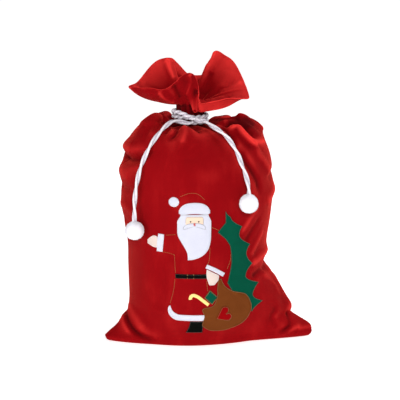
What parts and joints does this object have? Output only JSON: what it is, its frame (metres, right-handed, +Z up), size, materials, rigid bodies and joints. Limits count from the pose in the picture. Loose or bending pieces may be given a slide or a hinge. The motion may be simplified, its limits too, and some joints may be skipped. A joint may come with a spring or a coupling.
{
  "type": "fabric gift sack",
  "caption": "Standing cloth gift sack with a gathered ruffled mouth tied by a wound drawcord with hanging pompom tails and a sewn felt festive figure on the front.",
  "frame": {"origin": "middle of the bottom seam, on the floor", "axes": "+Z up the sack to its mouth, -Y out of the front with the figure, +X to the right seen from the front"},
  "size_m": [0.4694, 0.3036, 0.6357],
  "materials": {
    "red_velvet": "napped velvet",
    "satin_cord": "twisted satin",
    "pompom_pile": "fluffy cut pile",
    "white_felt": "matt felt",
    "skin_felt": "matt felt",
    "black_felt": "matt felt",
    "yellow_felt": "matt felt",
    "green_felt": "matt felt",
    "brown_felt": "matt felt",
    "red_felt": "matt felt"
  },
  "bodies": {
    "sack": {"front_panel": "red_velvet", "back_panel": "red_velvet", "neck_winding": "satin_cord", "left_cord_top": "satin_cord", "right_cord_top": "satin_cord", "hat_bobble": "white_felt", "hat_brim": "white_felt", "beard": "white_felt", "face": "skin_felt", "moustache": "white_felt", "left_mitten": "skin_felt", "left_cuff": "white_felt", "right_mitten": "skin_felt", "right_cuff": "white_felt", "belt": "black_felt", "coat_hem": "white_felt", "boot": "black_felt", "fir_tree": "green_felt", "gift_box": "green_felt", "candy_cane": "yellow_felt", "toy_bag": "brown_felt", "heart_patch": "red_felt"},
    "left_cord": {"left_tail": "satin_cord"},
    "left_pompom": {"left_pompom": "pompom_pile"},
    "right_cord": {"right_tail": "satin_cord"},
    "right_pompom": {"right_pompom": "pompom_pile"}
  },
  "joints": [
    {"name": "left_tail_lift", "type": "hinge", "parent": "sack", "child": "left_cord", "pos_m": [-0.108, -0.076, 0.4815], "axis": [-0.8, 0.6, 0], "range_deg": [0, 55]},
    {"name": "left_pompom_swing", "type": "hinge", "parent": "left_cord", "child": "left_pompom", "pos_m": [-0.171, -0.098, 0.295], "axis": [-0.74, -0.6726, 0], "range_deg": [-30, 30]},
    {"name": "right_tail_lift", "type": "hinge", "parent": "sack", "child": "right_cord", "pos_m": [0.02, -0.098, 0.4755], "axis": [-0.9165, -0.4, 0], "range_deg": [0, 55]},
    {"name": "right_pompom_swing", "type": "hinge", "parent": "right_cord", "child": "right_pompom", "pos_m": [0.07, -0.1435, 0.356], "axis": [0.41, -0.9121, 0], "range_deg": [-30, 30]}
  ]
}
